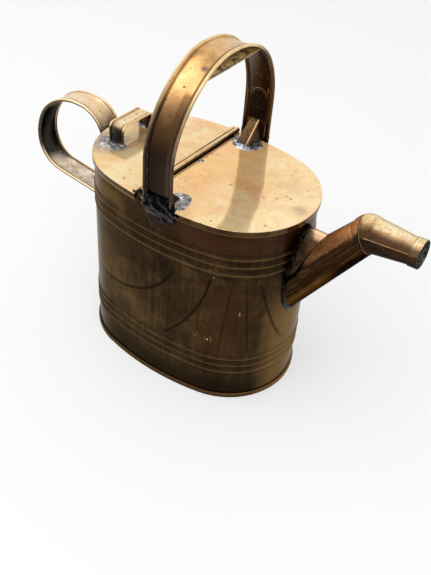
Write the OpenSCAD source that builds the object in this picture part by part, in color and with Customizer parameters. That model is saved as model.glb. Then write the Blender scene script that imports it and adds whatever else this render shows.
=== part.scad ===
// Old brass hot-water can: oval soldered body, half lid on a pin hinge, arched carrying hoop,
// rear pouring handle and an elbowed spout. The origin is the middle of the base, +X runs
// towards the spout and +Z is up. All sizes are in millimetres.

/* [Body] */
// Length of the oval body over its rims
body_l = 236.4; // [195:1:285]
// Width of the oval body over its rims
body_w = 160; // [133:1:192]
// Height of the body up to the deck
body_h = 214.4; // [178:1:258]
// Angle from the long axis at which each end arc meets the side arcs
side_meet = 77.2; // [75:0.1:79]
// Thickness of the brass sheet
sheet = 0.9; // [0.7:0.1:1.2]
// How far the wall stands inside the faces of the rims
wall_in = 1.8; // [1.6:0.1:2.4]
// Depth of the folded rim under the deck and the lid
rim_h = 6.2; // [5:0.1:9]
// Height of the folded rim round the base
base_rim_h = 5.6; // [4:0.1:9]

/* [Wall beads] */
// Height of the middle bead of the lower set
low_beads_z = 45.5; // [30:0.5:70]
// Depth below the deck of the middle bead of the upper set
high_beads_drop = 42; // [36:0.5:60]
// Distance from one bead to the next
bead_pitch = 9; // [8:0.1:11]
// Width of one bead
bead_w = 5.2; // [4:0.1:7]
// How far a bead stands out of the wall
bead_rise = 1.1; // [0.6:0.1:1.3]

/* [Lid and hinge] */
// Place of the hinge pin behind the middle of the body
hinge_back = 16.2; // [12:0.1:24]
// Outer radius of the hinge knuckles
barrel_r = 2.7; // [2.4:0.1:3.2]
// Radius of the hinge pin
pin_r = 1.4; // [1.2:0.05:1.6]
// Radial play of the pin in its knuckles
pin_play = 0.05; // [0.03:0.01:0.08]
// Length of each end knuckle
end_knuckle = 9.3; // [7:0.1:12]
// Gap at each end of the long lid knuckle
knuckle_gap = 0.4; // [0.3:0.1:0.8]
// Distance from the pin back to the stiffening roll of the lid
roll_back = 5.4; // [5.2:0.1:8]
// Radius of the stiffening roll
roll_r = 2.0; // [1.6:0.1:2.2]
// Air between the lid and the top edge of the wall
lid_lift = 0.3; // [0.2:0.05:0.5]

/* [Lid handle] */
// Distance from the rear end of the lid to the middle of its handle
lid_handle_in = 26.2; // [22:0.5:34]
// Length of the handle across the lid
lid_handle_l = 47; // [40:1:56]
// Height of the handle above the lid
lid_handle_h = 19.8; // [16:0.5:26]
// Width of the handle strap
lid_strap_w = 18.5; // [15:0.5:24]
// Outer radius of the handle's two bends
lid_bend_r = 6.5; // [5:0.5:8]

/* [Carrying hoop] */
// Place of the hoop in front of the middle of the body
hoop_x = 5.4; // [2:0.1:10]
// Turn of the hoop about the upright axis, in degrees
hoop_skew = 2.1; // [0:0.1:3]
// Height of the top of the hoop above the deck
hoop_rise = 126; // [112:1:150]
// Width of the hoop strap over its edge beads
hoop_w = 32.4; // [26:0.2:36]
// Width of the flat web between the two steps of the strap
hoop_web_w = 21.4; // [16:0.2:23]
// How far the edges of the strap are stepped outwards
hoop_step = 1.6; // [1.2:0.1:2.2]
// Radius of the wired edge beads of the hoop
hoop_bead_r = 1.5; // [1.2:0.1:1.8]
// Air between the rim and the hoop
hoop_gap = 0.3; // [0.2:0.1:0.8]
// Depth of the flat grip strap below the top of the hoop
grip_drop = 16.4; // [12:0.1:24]
// Width of the grip strap
grip_w = 31; // [24:0.5:32]
// How far the soldered tongues reach down below the deck
tongue_drop = 25.4; // [20:0.2:30]

/* [Hoop gussets] */
// How far a gusset reaches in from the rim
gusset_in = 23; // [18:0.5:28]
// Width of a gusset at its front edge
gusset_front_w = 15; // [11:0.5:18]
// Width of a gusset against the hoop
gusset_back_w = 20.6; // [16:0.2:21]
// Height of the folded part of a gusset
gusset_h = 22; // [16:0.5:28]
// Height of the rounded tongue of a gusset above the deck
gusset_tongue_h = 49; // [40:0.5:56]
// Width of that tongue
gusset_tongue_w = 18; // [14:0.5:19]

/* [Rear handle] */
// How far the rear handle stands out behind the body
rear_out = 97.3; // [85:0.5:115]
// Height of the rear handle above the deck
rear_rise = 17.7; // [14:0.1:24]
// Width of the rear strap over its edge beads
rear_w = 28; // [22:0.5:32]
// Radius of the wired edge beads of the rear strap
rear_bead_r = 1.6; // [1.3:0.1:1.9]
// Outer radius of the bend down to the body
rear_top_r = 31; // [28:0.5:31.5]
// Flat length at the top of the handle
rear_flat = 5.2; // [3:0.1:9]
// Outer radius of the big back bend
rear_back_r = 61; // [55:0.5:62]
// Outer radius of the lower bend
rear_low_r = 33; // [28:0.5:36]

/* [Spout] */
// Depth below the deck at which the axis of the spout leaves the end of the body
spout_root_drop = 68.4; // [60:0.2:80]
// How far the elbow stands out in front of the body
elbow_out = 56.4; // [50:0.2:68]
// Height of the elbow above the deck
elbow_rise = 7.9; // [0:0.1:14]
// Outer radius of the spout 100 mm below the elbow
tube_low_r = 21.6; // [19:0.1:23]
// Outer radius of the spout at the elbow
tube_top_r = 16; // [14:0.1:17]
// How far the nozzle laps over the spout
nozzle_lap = 3; // [2:0.1:4]
// Length of the nozzle from the elbow to the mouth
nozzle_l = 49.6; // [44:0.2:60]
// Rise of the nozzle above the level, in degrees
nozzle_rise = 2.7; // [0:0.1:8]
// Thickness of the nozzle sheet
nozzle_t = 0.7; // [0.6:0.05:0.9]
// Bore radius of the collar at the mouth
mouth_r = 12.45; // [11:0.05:13]
// Wall of the collar
collar_t = 0.75; // [0.6:0.05:1]
// Length of the collar
collar_l = 8.6; // [6:0.1:12]
// Depth below the deck of the boot's crest
boot_crest_drop = 12.2; // [10:0.2:18]
// Half width of the boot
boot_half_w = 20; // [18.5:0.1:20.6]

/* [Solder] */
// Height of the solder pads on the deck
pad_h = 1.4; // [0.8:0.1:2]
// Thickness of the solder fillets round seams
fillet_t = 1.3; // [0.8:0.1:1.8]

/* [Hidden] */
$fn = 48;
arc_fn = 180;
tuck = 0.5;
hair = 0.03;
near = -1;
far = 1;

// The plan is an oval of four arcs: two ends, and two sides that meet them without a corner.
half_l = body_l / 2;
half_w = body_w / 2;
arc_span = (half_l - half_w) / (cos(side_meet) + sin(side_meet) - 1);
end_x = arc_span * cos(side_meet);
side_y = arc_span * sin(side_meet);
end_r = half_l - end_x;
side_r = half_w + side_y;

hinge_x = -hinge_back;
hinge_z = body_h + barrel_r - 0.2;
bore_r = pin_r + pin_play;
deck_edge_x = hinge_x + barrel_r + 0.5;
lid_notch_x = hinge_x - barrel_r - 1.8;
knuckle_end = side_half_w(hinge_x) - 2;
knuckle_mid = knuckle_end - end_knuckle;
roll_x = hinge_x - roll_back;
roll_end = side_half_w(roll_x) - 1;
lid_top = body_h + lid_lift;
lid_strap_t = 1;
lid_strap_bead_r = 1.15;

hoop_in = half_w + hoop_gap;
hoop_bead_u = hoop_step + sheet / 2;
hoop_out = hoop_in + hoop_bead_u + hoop_bead_r;
hoop_spring_z = body_h + hoop_rise - hoop_out;
grip_z = body_h + hoop_rise - grip_drop;
grip_half_l = sqrt(pow(hoop_in, 2) - pow(grip_z - hoop_spring_z, 2));
tongue_r = hoop_w / 2 - 0.2;

rear_low_a = 83;
rear_top_a = 70;
rear_end_l = 14;
rear_leg_l = 76;

spout_root_z = body_h - spout_root_drop;
elbow = [half_l + elbow_out, 0, body_h + elbow_rise];
tube_a = atan2(elbow[2] - spout_root_z, elbow_out);
tube_taper = (tube_low_r - tube_top_r) / 100;
seam_tilt = 15;
seam_s = -3.3;
ball_r = tube_top_r + 1;
nozzle_base_r = tube_top_r + nozzle_t;
nozzle_cone_l = nozzle_l - collar_l + 2;
nozzle_end_r = mouth_r - 0.3;

boot_crest_z = body_h - boot_crest_drop;
boot_foot_z = spout_root_z + 4;
boot_ridge_r = 4;
boot_ridge_z = boot_crest_z - boot_ridge_r;
boot_side_r = (pow(boot_half_w, 2) + pow(boot_ridge_z - boot_foot_z, 2) - pow(boot_ridge_r, 2))
    / (2 * (boot_half_w - boot_ridge_r));
boot_side_a = asin((boot_ridge_z - boot_foot_z) / (boot_side_r - boot_ridge_r));

bead_centres = [for (c = [low_beads_z, body_h - high_beads_drop], i = [-1:1]) c + i * bead_pitch];

// Half width of the oval at x, on the side arcs
function side_half_w(x) = sqrt(side_r * side_r - x * x) - side_y;

// Plan points of the oval, moved out by off, for flat plates
function oval_points(off) = [
    for (s = [0, 180]) each concat(
        [for (i = [0:23]) turn([end_x, 0] + (end_r + off) * unit(-side_meet + i * side_meet / 12), s)],
        [for (i = [0:11]) turn([0, -side_y]
            + (side_r + off) * unit(side_meet + i * (180 - 2 * side_meet) / 12), s)])];
function unit(a) = [cos(a), sin(a)];
function turn(p, a) = [p[0] * cos(a) - p[1] * sin(a), p[0] * sin(a) + p[1] * cos(a)];

// How far the wall's bead stands out at height z
function bead_out(z) = max([for (c = bead_centres)
    abs(z - c) < bead_w / 2 ? bead_rise * pow(cos(180 * (z - c) / bead_w), 2) : 0]);
function tube_r(s) = tube_top_r - s * tube_taper;

// Sweeps a section, drawn as [offset from the oval, height], along both end arcs
module end_arcs() {
    for (s = [0, 180]) rotate([0, 0, s]) translate([end_x, 0, 0])
        rotate_extrude(angle = 2 * side_meet, start = -side_meet, $fn = arc_fn)
            translate([end_r, 0]) children();
}

// The same along both side arcs, each made longer by the length over at both ends
module side_arcs(over) {
    more = over / side_r * 180 / PI;
    for (s = [0, 180]) rotate([0, 0, s]) translate([0, -side_y, 0])
        rotate_extrude(angle = 180 - 2 * side_meet + 2 * more, start = side_meet - more, $fn = 2 * arc_fn)
            translate([side_r, 0]) children();
}

// Sweeps the first child round the ends, and the second, a hair smaller, along the sides
module oval_ring() {
    end_arcs() children(0);
    side_arcs(tuck) children(1);
}

// Solid oval from z0 to z1, moved out by off
module oval_block(off, z0, z1) {
    over = 10;
    translate([0, 0, z0]) for (s = [0, 180]) rotate([0, 0, s]) {
        translate([end_x, 0, 0])
            rotate_extrude(angle = 2 * side_meet, start = -side_meet, $fn = arc_fn)
                square([end_r + off, z1 - z0]);
        translate([0, -side_y, 0])
            rotate_extrude(angle = 180 - 2 * side_meet, start = side_meet, $fn = 2 * arc_fn)
                translate([side_y - over, 0]) square([half_w + off + over, z1 - z0]);
    }
}

// Everything that the body's wall encloses
module wall_block() {
    oval_block(-wall_in, 0, body_h);
}

// The wall's body at the ends, with its upper beads, for cutting what is soldered over them
module beaded_end() {
    middle = body_h - high_beads_drop;
    zs = [for (i = [-1:1], j = [-2:2]) middle + i * bead_pitch + j * bead_w / 4];
    wall_block();
    end_arcs() polygon(concat([[-wall_in - sheet, zs[0]]], [for (z = zs) [bead_out(z) - wall_in, z]],
        [[-wall_in - sheet, zs[14]]]));
}

// Flat oval sheet with its top face at z
module plate(z) {
    translate([0, 0, z - sheet]) linear_extrude(sheet) polygon(oval_points(-wall_in / 4));
}

module box_from(low, high) {
    translate(low) cube(high - low);
}

// Sweeps a section, drawn as [outward, across], along straights [length, 0] and bends [radius, angle]
// The first child is the section in the bends. The second is the section in the straights, a hair
// smaller, and each straight is tucked a little way into the bends beside it.
module strap_run(path, i = 0) {
    if (i < len(path)) {
        if (path[i][1] == 0) {
            z0 = i == 0 ? 0 : -tuck;
            z1 = i == len(path) - 1 ? path[i][0] : path[i][0] + tuck;
            translate([0, 0, z0]) linear_extrude(z1 - z0) children(1);
            translate([0, 0, path[i][0]]) strap_run(path, i + 1) {
                children(0);
                children(1);
            }
        } else {
            translate([-path[i][0], 0, 0]) rotate([90, 0, 0])
                rotate_extrude(angle = path[i][1], $fn = arc_fn)
                    translate([path[i][0], 0]) mirror([0, 1]) children(0);
            translate([-path[i][0], 0, 0]) rotate([0, -path[i][1], 0])
                translate([path[i][0], 0, 0]) strap_run(path, i + 1) {
                    children(0);
                    children(1);
                }
        }
    }
}

// Beaded sheet of the wall, drawn thinner by inset on both faces
module wall_section(inset) {
    zs = concat([sheet], [for (c = bead_centres, i = [-2:2]) c + i * bead_w / 4], [body_h - sheet]);
    n = len(zs);
    polygon(concat(
        [for (z = zs) [bead_out(z) - wall_in - inset, z]],
        [for (i = [1:n]) [bead_out(zs[n - i]) - wall_in - sheet + inset, zs[n - i]]]));
}

module body_wall() {
    color([0.42, 0.32, 0.18]) difference() {
        oval_ring() {
            wall_section(0);
            wall_section(hair);
        }
        spout_cone(-sheet, -170, -40);
    }
}

module base_rim_section(inset) {
    polygon([[inset - wall_in, 0], [-0.7 - inset, 0], [-0.1 - inset, 0.6], [-inset, base_rim_h / 2],
        [-0.1 - inset, base_rim_h - 0.8], [-0.7 - inset, base_rim_h - inset],
        [inset - wall_in, base_rim_h - inset]]);
}

module base_pan() {
    color([0.45, 0.34, 0.18]) union() {
        plate(sheet);
        oval_ring() {
            base_rim_section(0);
            base_rim_section(hair);
        }
    }
}

// Folded rim section with its top face at z and thickness t, drawn smaller by inset
module rim_section(z, t, inset) {
    top = z - inset;
    low = z - rim_h + inset;
    polygon([[inset - t, top], [-0.7 - inset, top], [-0.2 - inset, top - 0.25], [-inset, top - 0.8],
        [-inset, low + 0.5], [-0.3 - inset, low], [inset - t, low]]);
}

module deck() {
    color([0.93, 0.74, 0.45]) difference() {
        union() {
            difference() {
                union() {
                    plate(body_h);
                    oval_ring() {
                        rim_section(body_h, wall_in, 0);
                        rim_section(body_h, wall_in, hair);
                    }
                }
                box_from([-body_l, -body_w, 0], [deck_edge_x, body_w, 2 * body_h]);
            }
            for (side = [near, far]) end_knuckle_solid(side);
        }
        translate([hinge_x, body_w, hinge_z]) rotate([90, 0, 0]) cylinder(r = bore_r, h = 2 * body_w);
    }
}

// Knuckle at one end of the deck, on a tab of the deck's sheet
module end_knuckle_solid(side) {
    mirror([0, side < 0 ? 1 : 0, 0]) {
        translate([hinge_x, knuckle_end, hinge_z]) rotate([90, 0, 0])
            cylinder(r = barrel_r, h = end_knuckle);
        box_from([hinge_x - 1, knuckle_mid, body_h - sheet], [deck_edge_x + 1, knuckle_end, body_h]);
    }
}

module lid() {
    mid = knuckle_mid - knuckle_gap;
    color([0.93, 0.74, 0.45]) difference() {
        union() {
            difference() {
                union() {
                    plate(lid_top);
                    oval_ring() {
                        rim_section(lid_top, sheet, 0);
                        rim_section(lid_top, sheet, hair);
                    }
                }
                box_from([hinge_x, -body_w, 0], [body_l, body_w, 2 * body_h]);
                for (side = [near, far]) mirror([0, side < 0 ? 1 : 0, 0])
                    box_from([lid_notch_x, mid, 0], [body_l, body_w, 2 * body_h]);
            }
            translate([hinge_x, mid, hinge_z]) rotate([90, 0, 0]) cylinder(r = barrel_r, h = 2 * mid);
            translate([roll_x, roll_end, lid_top + roll_r - 0.3]) rotate([90, 0, 0])
                cylinder(r = roll_r, h = 2 * roll_end);
        }
        translate([hinge_x, body_w, hinge_z]) rotate([90, 0, 0]) cylinder(r = bore_r, h = 2 * body_w);
        translate([roll_x, body_w, lid_top + roll_r - 0.3]) rotate([90, 0, 0])
            cylinder(r = roll_r - 0.7, h = 2 * body_w);
    }
}

module hinge_pin() {
    pin_end = knuckle_end - 0.5;
    color([0.35, 0.3, 0.25]) translate([hinge_x, pin_end, hinge_z]) rotate([90, 0, 0])
        cylinder(r = pin_r, h = 2 * pin_end);
}

// Flat strap section with a round bead along each edge, width w over the beads, smaller by inset
module beaded_section(w, t, bead_r, inset) {
    translate([inset - t / 2, bead_r - w / 2]) square([t - 2 * inset, w - 2 * bead_r]);
    for (s = [-1, 1]) translate([0, s * (w / 2 - bead_r)]) circle(r = bead_r - inset);
}

module lid_handle() {
    bend = lid_bend_r - lid_strap_bead_r;
    leg = lid_handle_h - lid_bend_r;
    top = lid_handle_l - 2 * lid_bend_r;
    color([0.9, 0.7, 0.42])
        translate([lid_handle_in - half_l, lid_handle_l / 2 - lid_strap_bead_r, lid_top])
            rotate([0, 0, 90]) strap_run([[leg, 0], [bend, 90], [top, 0], [bend, 90], [leg, 0]]) {
                beaded_section(lid_strap_w, lid_strap_t, lid_strap_bead_r, 0);
                beaded_section(lid_strap_w, lid_strap_t, lid_strap_bead_r, hair);
            }
}

// Low solder pad under one foot of the lid handle
module lid_handle_solder(side) {
    color([0.62, 0.62, 0.6]) difference() {
        translate([lid_handle_in - half_l, side * (lid_handle_l / 2 - lid_strap_bead_r), lid_top])
            hull() for (s = [-1, 1])
                translate([s * lid_strap_w / 2, 0, 0]) cylinder(r1 = 4.5, r2 = 2.8, h = pad_h);
        lid_handle();
    }
}

// Section of the hoop: a web between two edges that are stepped outwards to their beads
module hoop_section(inset) {
    edge = hoop_w / 2 - hoop_bead_r;
    web = hoop_web_w / 2;
    t = sheet - 2 * inset;
    translate([inset, inset - web]) square([t, 2 * (web - inset)]);
    for (s = [0, 1]) mirror([0, s]) {
        translate([inset, web - sheet + inset]) square([hoop_step + t, t]);
        translate([hoop_step + inset, web - sheet + inset]) square([t, edge - web + sheet - inset]);
        translate([hoop_bead_u, edge]) circle(r = hoop_bead_r - inset);
    }
}

// Puts its children at one foot of the hoop: x across the strap, y outwards
module at_foot(side) {
    translate([hoop_x, 0, 0]) rotate([0, 0, hoop_skew]) mirror([0, side < 0 ? 1 : 0, 0]) children();
}

// Sheet that runs from the strap down over the rim and lies on the wall
module tongue_section() {
    step_z = body_h - rim_h - 1;
    low_z = step_z - 5;
    polygon([[0, body_h], [0, step_z], [-wall_in, low_z], [-wall_in, body_h - tongue_drop - 5],
        [sheet - wall_in, body_h - tongue_drop - 5], [sheet - wall_in, low_z],
        [1.3, step_z], [1.3, body_h]]);
}

// Outline of a tongue with a round lower end, as a prism through the wall
module tongue_prism() {
    centre_z = body_h - tongue_drop + tongue_r;
    translate([0, half_w - 20, 0]) rotate([90, 0, 0]) mirror([0, 0, 1]) linear_extrude(40)
        polygon(concat([[tongue_r, body_h + 5], [-tongue_r, body_h + 5]],
            [for (i = [0:16]) [0, centre_z] + tongue_r * unit(180 + i * 180 / 16)]));
}

module carry_handle() {
    leg_z = body_h - 1;
    leg = hoop_spring_z - leg_z;
    color([0.72, 0.52, 0.28]) union() {
        translate([hoop_x, 0, 0]) rotate([0, 0, hoop_skew + 90]) translate([hoop_in, 0, leg_z])
            strap_run([[leg, 0], [hoop_in, 180], [leg, 0]]) {
                hoop_section(0);
                hoop_section(hair);
            }
        for (side = [near, far]) intersection() {
            side_arcs(0) tongue_section();
            at_foot(side) tongue_prism();
        }
    }
}

// Round bar that just fills the hoop's bend
module bend_bar() {
    translate([0, 0, hoop_spring_z]) rotate([0, 90, 0])
        cylinder(r = hoop_in, h = 2 * hoop_w, center = true, $fn = arc_fn);
}

// Flat strap for the hand, soldered across inside the hoop's bend
module grip_strap() {
    low = grip_z - sheet;
    color([0.6, 0.45, 0.22]) at_foot(far) intersection() {
        bend_bar();
        union() {
            box_from([-grip_w / 2 + sheet, -hoop_in, low], [grip_w / 2 - sheet, hoop_in, grip_z]);
            for (s = [-1, 1]) translate([s * (grip_w / 2 - sheet), 0, grip_z - sheet / 2])
                rotate([90, 0, 0]) cylinder(r = sheet, h = 2 * hoop_in, center = true);
        }
    }
}

// Solder fillet under one end of the grip strap
module grip_solder(side) {
    high = grip_z - sheet;
    color([0.6, 0.6, 0.58]) at_foot(side) intersection() {
        bend_bar();
        box_from([-hoop_web_w / 2 + 1, grip_half_l - 1.5, high - 4], [hoop_web_w / 2 - 1, hoop_in, high]);
    }
}

// Wedge under a gusset's folded sheet, drawn smaller by inset
module gusset_wedge(inset) {
    front = gusset_front_w / 2 - inset;
    back = gusset_back_w / 2 - inset;
    top = 5 - inset;
    y0 = half_w - gusset_in + 1.5 * inset;
    y1 = hoop_in + inset;
    z0 = body_h - inset;
    z1 = body_h + gusset_h - 1.5 * inset;
    polyhedron([[-front, y0, z0], [front, y0, z0], [back, y1, z0], [-back, y1, z0],
        [-top, y1, z1], [top, y1, z1]],
        [[0, 1, 2, 3], [0, 4, 5, 1], [3, 2, 5, 4], [1, 5, 2], [0, 3, 4]]);
}

// Where the hoop's bend would cut into a sheet that stands against its leg
module inside_bend() {
    difference() {
        translate([0, 0, hoop_spring_z])
            box_from([-hoop_w / 2, hoop_in - 5, 0], [hoop_w / 2, hoop_in + 1, gusset_tongue_h]);
        bend_bar();
    }
}

module gusset(side) {
    tongue_w = gusset_tongue_w / 2;
    color([0.75, 0.52, 0.25]) at_foot(side) difference() {
        union() {
            difference() {
                gusset_wedge(0);
                gusset_wedge(sheet);
            }
            translate([0, hoop_in - sheet, 0]) rotate([90, 0, 0]) mirror([0, 0, 1]) linear_extrude(sheet)
                polygon(concat([[tongue_w, body_h + gusset_h - 4], [5, body_h + gusset_h - 9],
                    [-5, body_h + gusset_h - 9], [-tongue_w, body_h + gusset_h - 4]],
                    [for (i = [0:16]) [0, body_h + gusset_tongue_h - tongue_w]
                        + tongue_w * unit(180 - i * 180 / 16)]));
        }
        inside_bend();
    }
}

// Round solder pad on the deck about a gusset: radius, place across and place inwards
module gusset_solder(side, r, across, inwards) {
    color([0.45, 0.47, 0.5]) difference() {
        intersection() {
            at_foot(side) translate([across, half_w - inwards, body_h])
                cylinder(r1 = r, r2 = r - 2, h = pad_h);
            oval_block(-0.3, body_h - 1, body_h + 5);
            box_from([deck_edge_x + 0.4, -body_w, 0], [body_l, body_w, 2 * body_h]);
        }
        at_foot(side) gusset_wedge(0);
    }
}

// Solder run over a tongue where it passes the rim
module carry_solder(side) {
    half = tongue_r - 1;
    z = body_h - 1.3;
    step_z = body_h - rim_h - 1;
    wall_z = step_z - 5;
    color([0.13, 0.13, 0.14]) intersection() {
        side_arcs(0) polygon([[1.3, z], [1.3, step_z], [sheet - wall_in, wall_z],
            [sheet - wall_in, wall_z - 3], [0.4, wall_z - 2.4], [2.4, wall_z + 0.8],
            [3.6, step_z], [3.9, z - 3], [3.1, z - 0.7], [2.4, z]]);
        at_foot(side) translate([-half, half_w - 10, body_h - 30]) cube([2 * half, 20, 40]);
    }
}

// The rear strap is bent from the wall up, back, down and forward to the wall again
module rear_handle() {
    left_x = -half_l - rear_out;
    top_z = body_h + rear_rise;
    start_a = 90 - rear_top_a;
    start = [left_x + rear_back_r + rear_flat, top_z - rear_top_r]
        + (rear_top_r - rear_bead_r) * unit(start_a) + rear_end_l * unit(-rear_top_a);
    color([0.7, 0.5, 0.3]) difference() {
        translate([start[0], 0, start[1]]) rotate([0, -start_a, 0])
            strap_run([[rear_end_l, 0], [rear_top_r - rear_bead_r, rear_top_a], [rear_flat, 0],
                [rear_back_r - rear_bead_r, 90], [rear_low_r - rear_bead_r, rear_low_a],
                [rear_leg_l, 0]]) {
                    beaded_section(rear_w, sheet, rear_bead_r, 0);
                    beaded_section(rear_w, sheet, rear_bead_r, hair);
                }
        wall_block();
    }
}

// Solder where the rear strap meets the wall, from z0 to z1
module rear_solder(z0, z1, w) {
    color([0.4, 0.4, 0.42]) difference() {
        intersection() {
            oval_block(2 * fillet_t - wall_in, z0, z1);
            box_from([-body_l, -w / 2, z0], [-half_l / 2, w / 2, z1]);
        }
        wall_block();
        rear_handle();
    }
}

// Cone of the spout, larger by off, from s0 to s1 measured along it from the elbow
module spout_cone(off, s0, s1) {
    translate(elbow) rotate([0, 90 - tube_a, 0]) translate([0, 0, s0])
        cylinder(r1 = tube_r(s0) + off, r2 = tube_r(s1) + off, h = s1 - s0, $fn = 96);
}

// Everything past the slanted plane that crosses the spout's axis at s
module past_seam(s) {
    translate(elbow) rotate([0, 90 - tube_a + seam_tilt, 0])
        translate([-60, -60, s * cos(seam_tilt)]) cube(120);
}

module spout_tube() {
    color([0.55, 0.36, 0.18]) difference() {
        spout_cone(0, -150, 10);
        spout_cone(-sheet, -160, 20);
        past_seam(seam_s + nozzle_lap);
        beaded_end();
    }
}

// Outline of the boot, an arch with a rounded ridge, as [across, height], drawn smaller by inset
function boot_points(inset) = concat(
    [[boot_half_w - inset, boot_foot_z - 40]],
    [for (i = [0:7]) [boot_half_w - boot_side_r, boot_foot_z]
        + (boot_side_r - inset) * unit(i * boot_side_a / 8)],
    [for (i = [0:6]) [0, boot_ridge_z]
        + (boot_ridge_r - inset) * unit(boot_side_a + i * (180 - 2 * boot_side_a) / 6)],
    [for (i = [7:-1:0]) [boot_side_r - boot_half_w, boot_foot_z]
        + (boot_side_r - inset) * unit(180 - i * boot_side_a / 8)],
    [[inset - boot_half_w, boot_foot_z - 40]]);

// Solid wedge of the boot, between the end of the body and the plane of the spout's axis
module boot_block(inset) {
    difference() {
        translate([half_l - 30, 0, 0]) rotate([90, 0, 90]) linear_extrude(70)
            polygon(boot_points(inset));
        translate(elbow) rotate([0, 90 - tube_a, 0]) translate([0, -60, -160]) cube([120, 120, 260]);
    }
}

module spout_boot() {
    color([0.42, 0.34, 0.25]) difference() {
        boot_block(0);
        boot_block(sheet);
        spout_cone(0, -150, 60);
        beaded_end();
    }
}

module along_nozzle(s) {
    translate(elbow) rotate([0, 90 - nozzle_rise, 0]) translate([0, 0, s]) children();
}

module spout_nozzle() {
    color([0.8, 0.6, 0.32]) difference() {
        union() {
            difference() {
                spout_cone(nozzle_t, -20, 0);
                translate(elbow) rotate([0, 90 - tube_a + seam_tilt, 0])
                    translate([-60, -60, seam_s * cos(seam_tilt) - 120]) cube(120);
            }
            translate(elbow) sphere(r = ball_r, $fn = 96);
            along_nozzle(0) cylinder(r1 = nozzle_base_r, r2 = nozzle_end_r, h = nozzle_cone_l, $fn = 96);
        }
        spout_cone(0, -30, 0.3);
        translate(elbow) sphere(r = ball_r - nozzle_t, $fn = 96);
        along_nozzle(0) cylinder(r1 = nozzle_base_r - nozzle_t, r2 = nozzle_end_r - nozzle_t,
            h = nozzle_cone_l, $fn = 96);
        along_nozzle(nozzle_cone_l - 0.5) cylinder(r = nozzle_end_r - nozzle_t, h = 5, $fn = 96);
    }
}

module nozzle_collar() {
    color([0.86, 0.66, 0.36]) along_nozzle(nozzle_l - collar_l) difference() {
        cylinder(r = mouth_r + collar_t, h = collar_l, $fn = 96);
        translate([0, 0, -1]) cylinder(r = mouth_r, h = collar_l + 2, $fn = 96);
    }
}

// Solder fillet where the spout and its boot meet the wall
module spout_root_solder() {
    color([0.25, 0.23, 0.2]) difference() {
        intersection() {
            union() {
                spout_cone(fillet_t, -140, -30);
                boot_block(-fillet_t);
            }
            oval_block(2 * fillet_t - wall_in, spout_root_z - 60, boot_crest_z + 2 * fillet_t);
            box_from([half_l / 2, -half_w, 0], [body_l, half_w, body_h]);
        }
        spout_cone(0, -150, 0);
        boot_block(0);
        beaded_end();
    }
}

// Drop of solder that fell on the deck beside the hinge
module deck_solder_drop() {
    r = 3.4;
    color([0.6, 0.5, 0.36]) intersection() {
        translate([deck_edge_x + r + 0.4, 6, body_h - r / 2]) sphere(r = r);
        box_from([-body_l, -body_w, body_h], [body_l, body_w, body_h + r]);
    }
}

body_wall();
base_pan();
deck();
lid();
hinge_pin();
lid_handle();
lid_handle_solder(near);  // lid_handle_solder_near
lid_handle_solder(far);  // lid_handle_solder_far
carry_handle();
gusset(near);  // gusset_near
gusset(far);  // gusset_far
gusset_solder(near, 20, 1.5, 15);  // gusset_solder_near
gusset_solder(far, 21.5, 2, 9);  // gusset_solder_far
carry_solder(near);  // carry_solder_near
carry_solder(far);  // carry_solder_far
rear_handle();
rear_solder(body_h - 26, body_h - 7.4, 29);  // rear_solder_top
rear_solder(body_h - 92, body_h - 78, 32);  // rear_solder_bottom
spout_tube();
spout_boot();
spout_nozzle();
nozzle_collar();
spout_root_solder();
deck_solder_drop();
grip_strap();
grip_solder(near);  // grip_solder_near
grip_solder(far);  // grip_solder_far
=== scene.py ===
import bpy
from math import asin, atan2, cos, hypot, pi, radians, sin, sqrt
from mathutils import Matrix, Vector, noise

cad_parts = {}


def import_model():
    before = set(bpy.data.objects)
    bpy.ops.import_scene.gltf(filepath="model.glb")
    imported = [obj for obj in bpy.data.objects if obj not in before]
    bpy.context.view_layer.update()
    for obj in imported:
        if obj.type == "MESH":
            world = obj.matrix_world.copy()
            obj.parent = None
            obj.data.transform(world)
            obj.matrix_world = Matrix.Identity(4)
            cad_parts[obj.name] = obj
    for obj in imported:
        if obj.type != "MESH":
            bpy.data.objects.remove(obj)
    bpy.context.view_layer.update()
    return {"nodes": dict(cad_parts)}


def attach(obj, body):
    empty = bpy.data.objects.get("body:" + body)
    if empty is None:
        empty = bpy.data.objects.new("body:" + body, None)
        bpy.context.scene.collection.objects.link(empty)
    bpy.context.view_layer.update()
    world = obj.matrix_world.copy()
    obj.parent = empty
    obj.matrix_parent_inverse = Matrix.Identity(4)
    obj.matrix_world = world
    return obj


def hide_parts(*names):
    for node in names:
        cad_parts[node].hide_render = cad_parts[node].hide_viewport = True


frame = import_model()
nodes = frame["nodes"]

MM = 0.001

# Main sizes of the can in millimetres, the same as the CAD part's
HALF_L, HALF_W, TOP = 118.2, 80.0, 214.4
SIDE_MEET = radians(77.2)
RIM_Z = 213
LID_TOP, LID_HANDLE_X = 214.7, -92
# The spout's middle line, from the root to the elbow, and its direction
ROOT_X, ROOT_Z, ELBOW_X, ELBOW_Z = 118.2, 146.0, 174.6, 222.3
SPOUT_X, SPOUT_Z = 0.594, 0.804
# The hoop: its middle, its turn about the upright, its inside radius and the height where its arch starts
HOOP_X, SKEW, HOOP_IN, HOOP_SPRING = 5.4, radians(2.1), 80.3, 256.55
HOOP_FRAME = Matrix.Translation((HOOP_X, 0, 0)) @ Matrix.Rotation(SKEW, 4, "Z")
# Heights of the wall's raised beads, and of the hollows above and below each
BEADS = (36.5, 45.5, 54.5, 163.4, 172.4, 181.4)
HOLLOWS = (32.6, 41.0, 50.0, 59.0, 159.0, 167.9, 176.9, 185.9)


# ---------- colours and node helpers

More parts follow.
